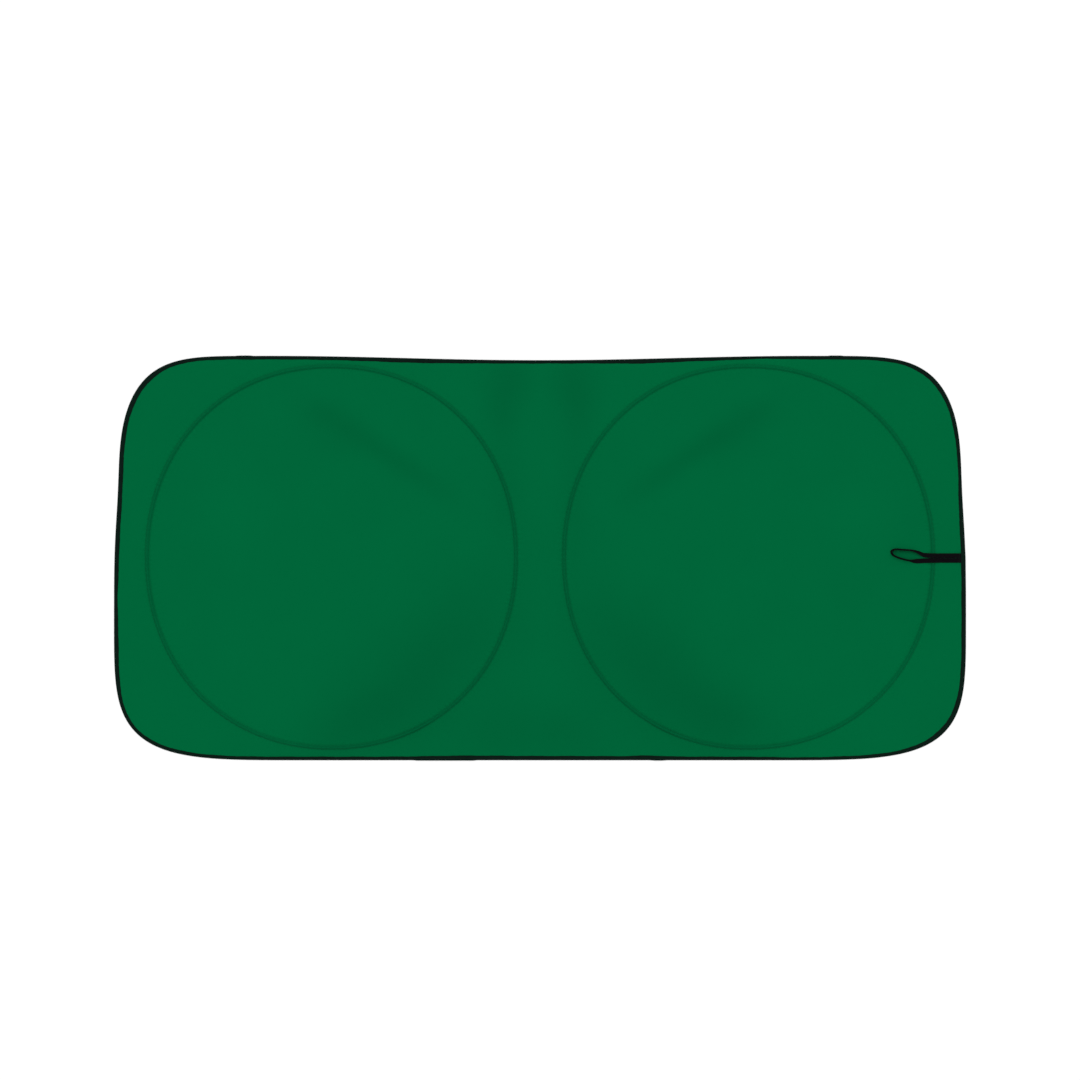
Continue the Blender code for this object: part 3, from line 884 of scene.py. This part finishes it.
# Each noise pattern's scale is the number of its grains in a metre
DYE_CLOUDS = 9.0  # 110 mm across
FACE_CREASES = 22.0  # 45 mm apart
BACK_CREASES = 25.0  # 40 mm apart
PUCKER_WOBBLE = 60.0  # 17 mm long
TAPE_WEAR = 90.0  # patches of 11 mm
THREAD_TWIST = 2500.0  # 0.4 mm, the thread's own thickness
WIRE_GRAIN = 900.0  # 1.1 mm, because the marks of the real die are too fine to show
ZINC_GRAIN = 500.0  # 2 mm, the plating's spangle

# Painted shade along each hoop seam is full up to the first distance from the wire, and fades out by the
# second
SEAM_SHADE_REACH = (0.0010, 0.0066)
PUCKERS_END = 0.016
GLOSS_SWING = 0.08  # how far a metal's roughness strays from its mean

# Sockets of the Mix node when it mixes colours
MIX_A = 6
MIX_B = 7
MIX_RESULT = 2


def add_node(tree, kind, inputs=None, **options):
    """Adds a node. An input is given a plain value, a node's output, or a node for its first output."""
    node = tree.nodes.new(kind)
    for name, value in options.items():
        setattr(node, name, value)
    for name, value in (inputs or {}).items():
        if isinstance(value, bpy.types.Node):
            value = value.outputs[0]
        if isinstance(value, bpy.types.NodeSocket):
            tree.links.new(value, node.inputs[name])
        else:
            node.inputs[name].default_value = value
    return node


def new_material(name):
    """A material with no nodes yet, and its node tree."""
    made = bpy.data.materials.new(name)
    made.use_nodes = True
    made.node_tree.nodes.clear()
    return made, made.node_tree


def ended_in(made, kind, inputs):
    """The material once its last shader, of this kind, is joined to its output."""
    shader = add_node(made.node_tree, kind, inputs)
    add_node(made.node_tree, "ShaderNodeOutputMaterial", {"Surface": shader})
    return made


def woven_height(tree, place, pitch):
    """A plain weave: hills where one thread crosses over the other, on the two axes of the place."""
    axes = add_node(tree, "ShaderNodeSeparateXYZ", {"Vector": place})
    waves = []
    for axis in ("X", "Y"):
        turns = {0: axes.outputs[axis], 1: math.pi / pitch}
        turned = add_node(tree, "ShaderNodeMath", turns, operation="MULTIPLY")
        waves.append(add_node(tree, "ShaderNodeMath", {0: turned}, operation="SINE"))
    return add_node(tree, "ShaderNodeMath", {0: waves[0], 1: waves[1]}, operation="MULTIPLY")


def taffeta_face(sizes, colours):
    """Dyed polyester taffeta: a tight plain weave of smooth filaments, so one even deep green with a soft
    sheen, with painted shade along the seams over the wires and painted shade and light in patches a hand
    wide, and puckered beside the stitches."""
    made, tree = new_material("dyed_taffeta")
    place = add_node(tree, "ShaderNodeTexCoord").outputs["Object"]
    seam = add_node(tree, "ShaderNodeUVMap", uv_map="seam")
    axes = add_node(tree, "ShaderNodeSeparateXYZ", {"Vector": seam})
    gap = add_node(tree, "ShaderNodeMath", {0: axes.outputs["Y"]}, operation="ABSOLUTE")

    # Painted shade along each hoop seam, darkest over the wire and gone past the stitched grooves
    shade_full_to, shade_gone_by = SEAM_SHADE_REACH
    near = {"Value": gap, "From Min": shade_full_to, "From Max": shade_gone_by, "To Min": 1.0, "To Max": 0.0}
    painted_seam_shade = add_node(tree, "ShaderNodeMapRange", near, interpolation_type="SMOOTHSTEP")
    dye_and_seam_shade = {0: painted_seam_shade, MIX_A: colours.cloth, MIX_B: colours.seam}
    colour = add_node(tree, "ShaderNodeMix", dye_and_seam_shade, data_type="RGBA").outputs[MIX_RESULT]

    # Painted shade and painted light in patches a hand wide, and a weak cloudiness of the dye
    painted_patches = add_node(tree, "ShaderNodeAttribute", attribute_name="tone").outputs["Fac"]
    clouds = add_node(tree, "ShaderNodeTexNoise", {"Vector": place, "Scale": DYE_CLOUDS, "Detail": 2.0})
    weak = {"Value": clouds, "From Min": 0.3, "From Max": 0.7, "To Min": 0.985, "To Max": 1.015}
    cloudy = add_node(tree, "ShaderNodeMapRange", weak)
    shade = add_node(tree, "ShaderNodeMath", {0: cloudy, 1: painted_patches}, operation="ADD")
    clouded = add_node(tree, "ShaderNodeHueSaturation", {"Color": colour, "Value": shade})

    # Weave, drawn at the size that a close look can show: real taffeta has a thread every 0.15 mm
    weave = woven_height(tree, place, sizes.weave)
    normal = add_node(tree, "ShaderNodeBump", {"Height": weave, "Strength": 0.25, "Distance": 0.0001})

    # Puckers that fade away from the stitch rows
    turns = {0: axes.outputs["X"], 1: math.tau / sizes.pucker}
    turned = add_node(tree, "ShaderNodeMath", turns, operation="MULTIPLY")
    wobble = add_node(tree, "ShaderNodeTexNoise", {"Vector": place, "Scale": PUCKER_WOBBLE, "Detail": 1.0})
    shifted = add_node(tree, "ShaderNodeMath", {0: wobble, 1: 8.0, 2: turned}, operation="MULTIPLY_ADD")
    wave = add_node(tree, "ShaderNodeMath", {0: shifted}, operation="SINE")
    near = {"Value": gap, "From Min": CHANNEL_HALF, "From Max": PUCKERS_END, "To Min": 1.0, "To Max": 0.0}
    fade = add_node(tree, "ShaderNodeMapRange", near, interpolation_type="SMOOTHSTEP")
    pucker = add_node(tree, "ShaderNodeMath", {0: wave, 1: fade}, operation="MULTIPLY")
    raised = {"Height": pucker, "Strength": 0.35, "Distance": 0.0006, "Normal": normal}
    normal = add_node(tree, "ShaderNodeBump", raised)

    # Soft creases left by folding, a few centimetres apart
    crumple = add_node(tree, "ShaderNodeTexNoise", {"Vector": place, "Scale": FACE_CREASES, "Detail": 3.0})
    creased = {"Height": crumple, "Strength": 0.4, "Distance": 0.0015, "Normal": normal}
    normal = add_node(tree, "ShaderNodeBump", creased)
    surface = {
        "Base Color": clouded,
        "Roughness": 0.55,
        "Specular IOR Level": 0.08,
        "Specular Tint": colours.gloss,
        "Normal": normal,
    }
    return ended_in(made, "ShaderNodeBsdfPrincipled", surface)


def silver_coating(sizes, colours):
    """Aluminium pigment in a thin polyurethane coat: a dull silver that still shows the weave."""
    made, tree = new_material("silver_coated_taffeta")
    place = add_node(tree, "ShaderNodeTexCoord").outputs["Object"]
    weave = woven_height(tree, place, sizes.weave)
    normal = add_node(tree, "ShaderNodeBump", {"Height": weave, "Strength": 0.2, "Distance": 0.0001})
    crumple = add_node(tree, "ShaderNodeTexNoise", {"Vector": place, "Scale": BACK_CREASES, "Detail": 3.0})
    creased = {"Height": crumple, "Strength": 0.5, "Distance": 0.0015, "Normal": normal}
    normal = add_node(tree, "ShaderNodeBump", creased)
    surface = {"Base Color": colours.coating, "Metallic": 0.7, "Roughness": 0.42, "Normal": normal}
    return ended_in(made, "ShaderNodeBsdfPrincipled", surface)


def woven_tape(name, colour, rib, depth, roughness):
    """Black woven polyester tape: ribs straight across it, each a row of fine floats, matt and slightly
    uneven in tone."""
    made, tree = new_material(name)
    place = add_node(tree, "ShaderNodeUVMap", uv_map="weave")
    axes = add_node(tree, "ShaderNodeSeparateXYZ", {"Vector": place})
    turns = {0: axes.outputs["X"], 1: math.tau / rib}
    turned = add_node(tree, "ShaderNodeMath", turns, operation="MULTIPLY")
    ribs = add_node(tree, "ShaderNodeMath", {0: turned}, operation="SINE")
    floats = woven_height(tree, place, rib / 2)
    height = add_node(tree, "ShaderNodeMath", {0: floats, 1: 0.4, 2: ribs}, operation="MULTIPLY_ADD")
    normal = add_node(tree, "ShaderNodeBump", {"Height": height, "Strength": 0.6, "Distance": depth})
    worn = add_node(tree, "ShaderNodeTexNoise", {"Vector": place, "Scale": TAPE_WEAR, "Detail": 3.0})
    uneven = {"Value": worn, "From Min": 0.3, "From Max": 0.7, "To Min": 0.85, "To Max": 1.25}
    shade = add_node(tree, "ShaderNodeMapRange", uneven)
    toned = add_node(tree, "ShaderNodeHueSaturation", {"Color": colour, "Value": shade})
    surface = {"Base Color": toned, "Roughness": roughness, "Specular IOR Level": 0.05, "Normal": normal}
    return ended_in(made, "ShaderNodeBsdfPrincipled", surface)


def sewing_thread(name, colour):
    """Spun polyester thread: matt, with a fine twist along each stitch."""
    made, tree = new_material(name)
    place = add_node(tree, "ShaderNodeTexCoord").outputs["Object"]
    twist = add_node(tree, "ShaderNodeTexNoise", {"Vector": place, "Scale": THREAD_TWIST, "Detail": 1.0})
    normal = add_node(tree, "ShaderNodeBump", {"Height": twist, "Strength": 0.5, "Distance": 0.0001})
    surface = {"Base Color": colour, "Roughness": 0.7, "Specular IOR Level": 0.08, "Normal": normal}
    return ended_in(made, "ShaderNodeBsdfPrincipled", surface)


def bare_metal(name, colour, grain, roughness):
    """Drawn or plated steel: bright, with a fine uneven grain in its gloss."""
    made, tree = new_material(name)
    place = add_node(tree, "ShaderNodeTexCoord").outputs["Object"]
    noise = add_node(tree, "ShaderNodeTexNoise", {"Vector": place, "Scale": grain, "Detail": 3.0})
    swing = {"Value": noise, "To Min": roughness - GLOSS_SWING, "To Max": roughness + GLOSS_SWING}
    gloss = add_node(tree, "ShaderNodeMapRange", swing)
    normal = add_node(tree, "ShaderNodeBump", {"Height": noise, "Strength": 0.2, "Distance": 0.00005})
    surface = {"Base Color": colour, "Metallic": 1.0, "Roughness": gloss, "Normal": normal}
    return ended_in(made, "ShaderNodeBsdfPrincipled", surface)


# The studio: lamps and world together light a level sheet at about 1
WORLD_LIGHT = 0.50
KEY_STRENGTH = 1.06
KEY_ELEVATION_DEG = 62.0
FILL_STRENGTH = 0.30
FILL_ELEVATION_DEG = 60.0
SUN_SPREAD_DEG = 50.0
FLOOR_GLOW = 0.34
FLOOR_HALF = 40.0
LENS = 85.0
SENSOR = 36.0


def seen_directly(tree):
    """1 for rays from the camera and those that metal sends on, so that both find a white studio."""
    rays = add_node(tree, "ShaderNodeLightPath")
    total = rays.outputs["Is Camera Ray"]
    for name in ("Is Glossy Ray", "Is Transmission Ray"):
        total = add_node(tree, "ShaderNodeMath", {0: total, 1: rays.outputs[name]}, operation="MAXIMUM")
    return total


def studio_floor(colours):
    """Matt white board. What the lamps leave short of white is added for the camera alone, so the shadow
    under the shade stays."""
    made, tree = new_material("white_board")
    matt = add_node(tree, "ShaderNodeBsdfDiffuse", {"Color": colours.floor})
    glowing = {0: seen_directly(tree), 1: FLOOR_GLOW}
    strength = add_node(tree, "ShaderNodeMath", glowing, operation="MULTIPLY")
    glow = add_node(tree, "ShaderNodeEmission", {"Strength": strength})
    return ended_in(made, "ShaderNodeAddShader", {0: matt, 1: glow})


def white_world(scene):
    """A world that the camera and metal see white, and that lights all else evenly and less."""
    world = bpy.data.worlds.new("white_studio")
    scene.world = world
    world.use_nodes = True
    tree = world.node_tree
    tree.nodes.clear()
    levels = {"Value": seen_directly(tree), "To Min": WORLD_LIGHT, "To Max": 1.0}
    strength = add_node(tree, "ShaderNodeMapRange", levels)
    sky = add_node(tree, "ShaderNodeBackground", {"Color": linear("#ffffff"), "Strength": strength})
    add_node(tree, "ShaderNodeOutputWorld", {"Surface": sky})


def soft_sun(name, strength, heading_deg, elevation_deg):
    """A broad even lamp from a heading about Z, where 0 is the top of the picture."""
    lamp = bpy.data.lights.new(name, "SUN")
    lamp.energy = strength
    lamp.angle = math.radians(SUN_SPREAD_DEG)
    holder = bpy.data.objects.new(name, lamp)
    holder.rotation_euler = (math.radians(elevation_deg - 90), 0.0, math.radians(heading_deg))
    bpy.context.scene.collection.objects.link(holder)


def straight_down_camera(scene):
    """The photo looks square onto the shade, so the camera hangs over it."""
    data = bpy.data.cameras.new("camera")
    data.lens = LENS
    data.sensor_width = SENSOR
    holder = bpy.data.objects.new("camera", data)
    holder.location = (0.0, FRAME_MIDDLE_Y, CLOTH_LEVEL + FRAME_WIDTH * LENS / SENSOR)
    scene.collection.objects.link(holder)
    scene.camera = holder


def chosen(context):
    """The sizes and colours that are set in the panel."""
    return context.scene.sunshade_sizes, context.scene.sunshade_colours


class SUNSHADE_OT_tapes(bpy.types.Operator):
    """Makes the binding round the edge and the casing under each hoop"""

    bl_idname = "sunshade.tapes"
    bl_label = "Make tapes"

    def execute(self, context):
        sizes, colours = chosen(context)
        binding = woven_tape("black_binding", colours.binding, sizes.rib, depth=0.0002, roughness=0.72)
        casing = woven_tape("black_casing", colours.casing, sizes.rib, depth=0.0001, roughness=0.80)
        folded_binding(sizes, [binding])
        for name in SIDES:
            casing_tape(name, sizes, [casing])
        return {"FINISHED"}


class SUNSHADE_OT_hoops(bpy.types.Operator):
    """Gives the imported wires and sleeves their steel"""

    bl_idname = "sunshade.hoops"
    bl_label = "Finish hoops"

    def execute(self, context):
        _, colours = chosen(context)
        wire = bare_metal("drawn_spring_steel", colours.wire, WIRE_GRAIN, roughness=0.34)
        zinc = bare_metal("zinc_plating", colours.zinc, ZINC_GRAIN, roughness=0.42)
        for name in SIDES:
            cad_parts[f"{name}_hoop_wire"].material_slots[0].material = wire
            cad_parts[f"{name}_hoop_sleeve"].material_slots[0].material = zinc
        return {"FINISHED"}


class SUNSHADE_OT_elastic(bpy.types.Operator):
    """Makes the elastic band at the right end"""

    bl_idname = "sunshade.elastic"
    bl_label = "Make elastic"

    def execute(self, context):
        sizes, colours = chosen(context)
        finish = woven_tape("ribbed_elastic", colours.elastic, rib=0.0009, depth=0.0001, roughness=0.85)
        elastic_band(sizes, [finish])
        return {"FINISHED"}


class SUNSHADE_OT_stitching(bpy.types.Operator):
    """Sews the binding, both casings and the elastic's root"""

    bl_idname = "sunshade.stitching"
    bl_label = "Sew seams"

    def execute(self, context):
        sizes, colours = chosen(context)
        black = sewing_thread("black_thread", colours.black_thread)
        green = sewing_thread("green_thread", colours.green_thread)
        sewn("binding_stitching", binding_stitches(sizes), black)
        sewn("elastic_bar_tack", bar_tack(sizes), black)
        for name in SIDES:
            sewn(f"{name}_face_stitching", hoop_stitches(name, True, sizes), green)
            sewn(f"{name}_back_stitching", hoop_stitches(name, False, sizes), black)
        return {"FINISHED"}


class SUNSHADE_OT_cloth(bpy.types.Operator):
    """Makes the green sheet with its silver-coated reverse"""

    bl_idname = "sunshade.cloth"
    bl_label = "Make cloth"

    def execute(self, context):
        sizes, colours = chosen(context)
        sheet = taffeta_sheet(sizes, [taffeta_face(sizes, colours), silver_coating(sizes, colours)])
        cut = Path([(point.x, point.y) for point in cut_edge()])
        sewn_on = ["folded_binding", "binding_stitching", "left_casing_tape", "right_casing_tape"]
        sewn_on += ["left_face_stitching", "right_face_stitching"]
        return {"FINISHED"}


class SUNSHADE_OT_stage(bpy.types.Operator):
    """Sets the white floor, the lamps and the camera"""

    bl_idname = "sunshade.stage"
    bl_label = "Set stage"

    def execute(self, context):
        scene = context.scene
        _, colours = chosen(context)
        bm = bmesh.new()
        bmesh.ops.create_grid(bm, x_segments=1, y_segments=1, size=FLOOR_HALF)
        mesh = bpy.data.meshes.new("floor")
        bm.to_mesh(mesh)
        bm.free()
        mesh.materials.append(studio_floor(colours))
        floor = bpy.data.objects.new("floor", mesh)
        scene.collection.objects.link(floor)
        white_world(scene)
        soft_sun("key", KEY_STRENGTH, 0.0, KEY_ELEVATION_DEG)
        soft_sun("fill", FILL_STRENGTH, 180.0, FILL_ELEVATION_DEG)
        straight_down_camera(scene)
        scene.view_settings.view_transform = "Standard"
        return {"FINISHED"}


class SUNSHADE_PT_panel(bpy.types.Panel):
    """Lists the steps that dress the sunshade"""

    bl_idname = "SUNSHADE_PT_panel"
    bl_label = "Sunshade"
    bl_space_type = "VIEW_3D"
    bl_region_type = "UI"
    bl_category = "Sunshade"

    def draw(self, context):
        column = self.layout.column()
        for group in chosen(context):
            for name in group.bl_rna.properties.keys():
                if name not in ("rna_type", "name"):
                    column.prop(group, name)
        for step in STEPS:
            column.operator(step.bl_idname)


STEPS = (
    SUNSHADE_OT_tapes,
    SUNSHADE_OT_hoops,
    SUNSHADE_OT_elastic,
    SUNSHADE_OT_stitching,
    SUNSHADE_OT_cloth,
    SUNSHADE_OT_stage,
)
CLASSES = (SunshadeSizes, SunshadeColours, *STEPS, SUNSHADE_PT_panel)


def register():
    for item in CLASSES:
        bpy.utils.register_class(item)
    bpy.types.Scene.sunshade_sizes = bpy.props.PointerProperty(type=SunshadeSizes)
    bpy.types.Scene.sunshade_colours = bpy.props.PointerProperty(type=SunshadeColours)


def unregister():
    del bpy.types.Scene.sunshade_colours
    del bpy.types.Scene.sunshade_sizes
    for item in reversed(CLASSES):
        bpy.utils.unregister_class(item)


def main():
    register()
    for step in STEPS:
        group, name = step.bl_idname.split(".")
        getattr(getattr(bpy.ops, group), name)()


if __name__ == "__main__":
    main()
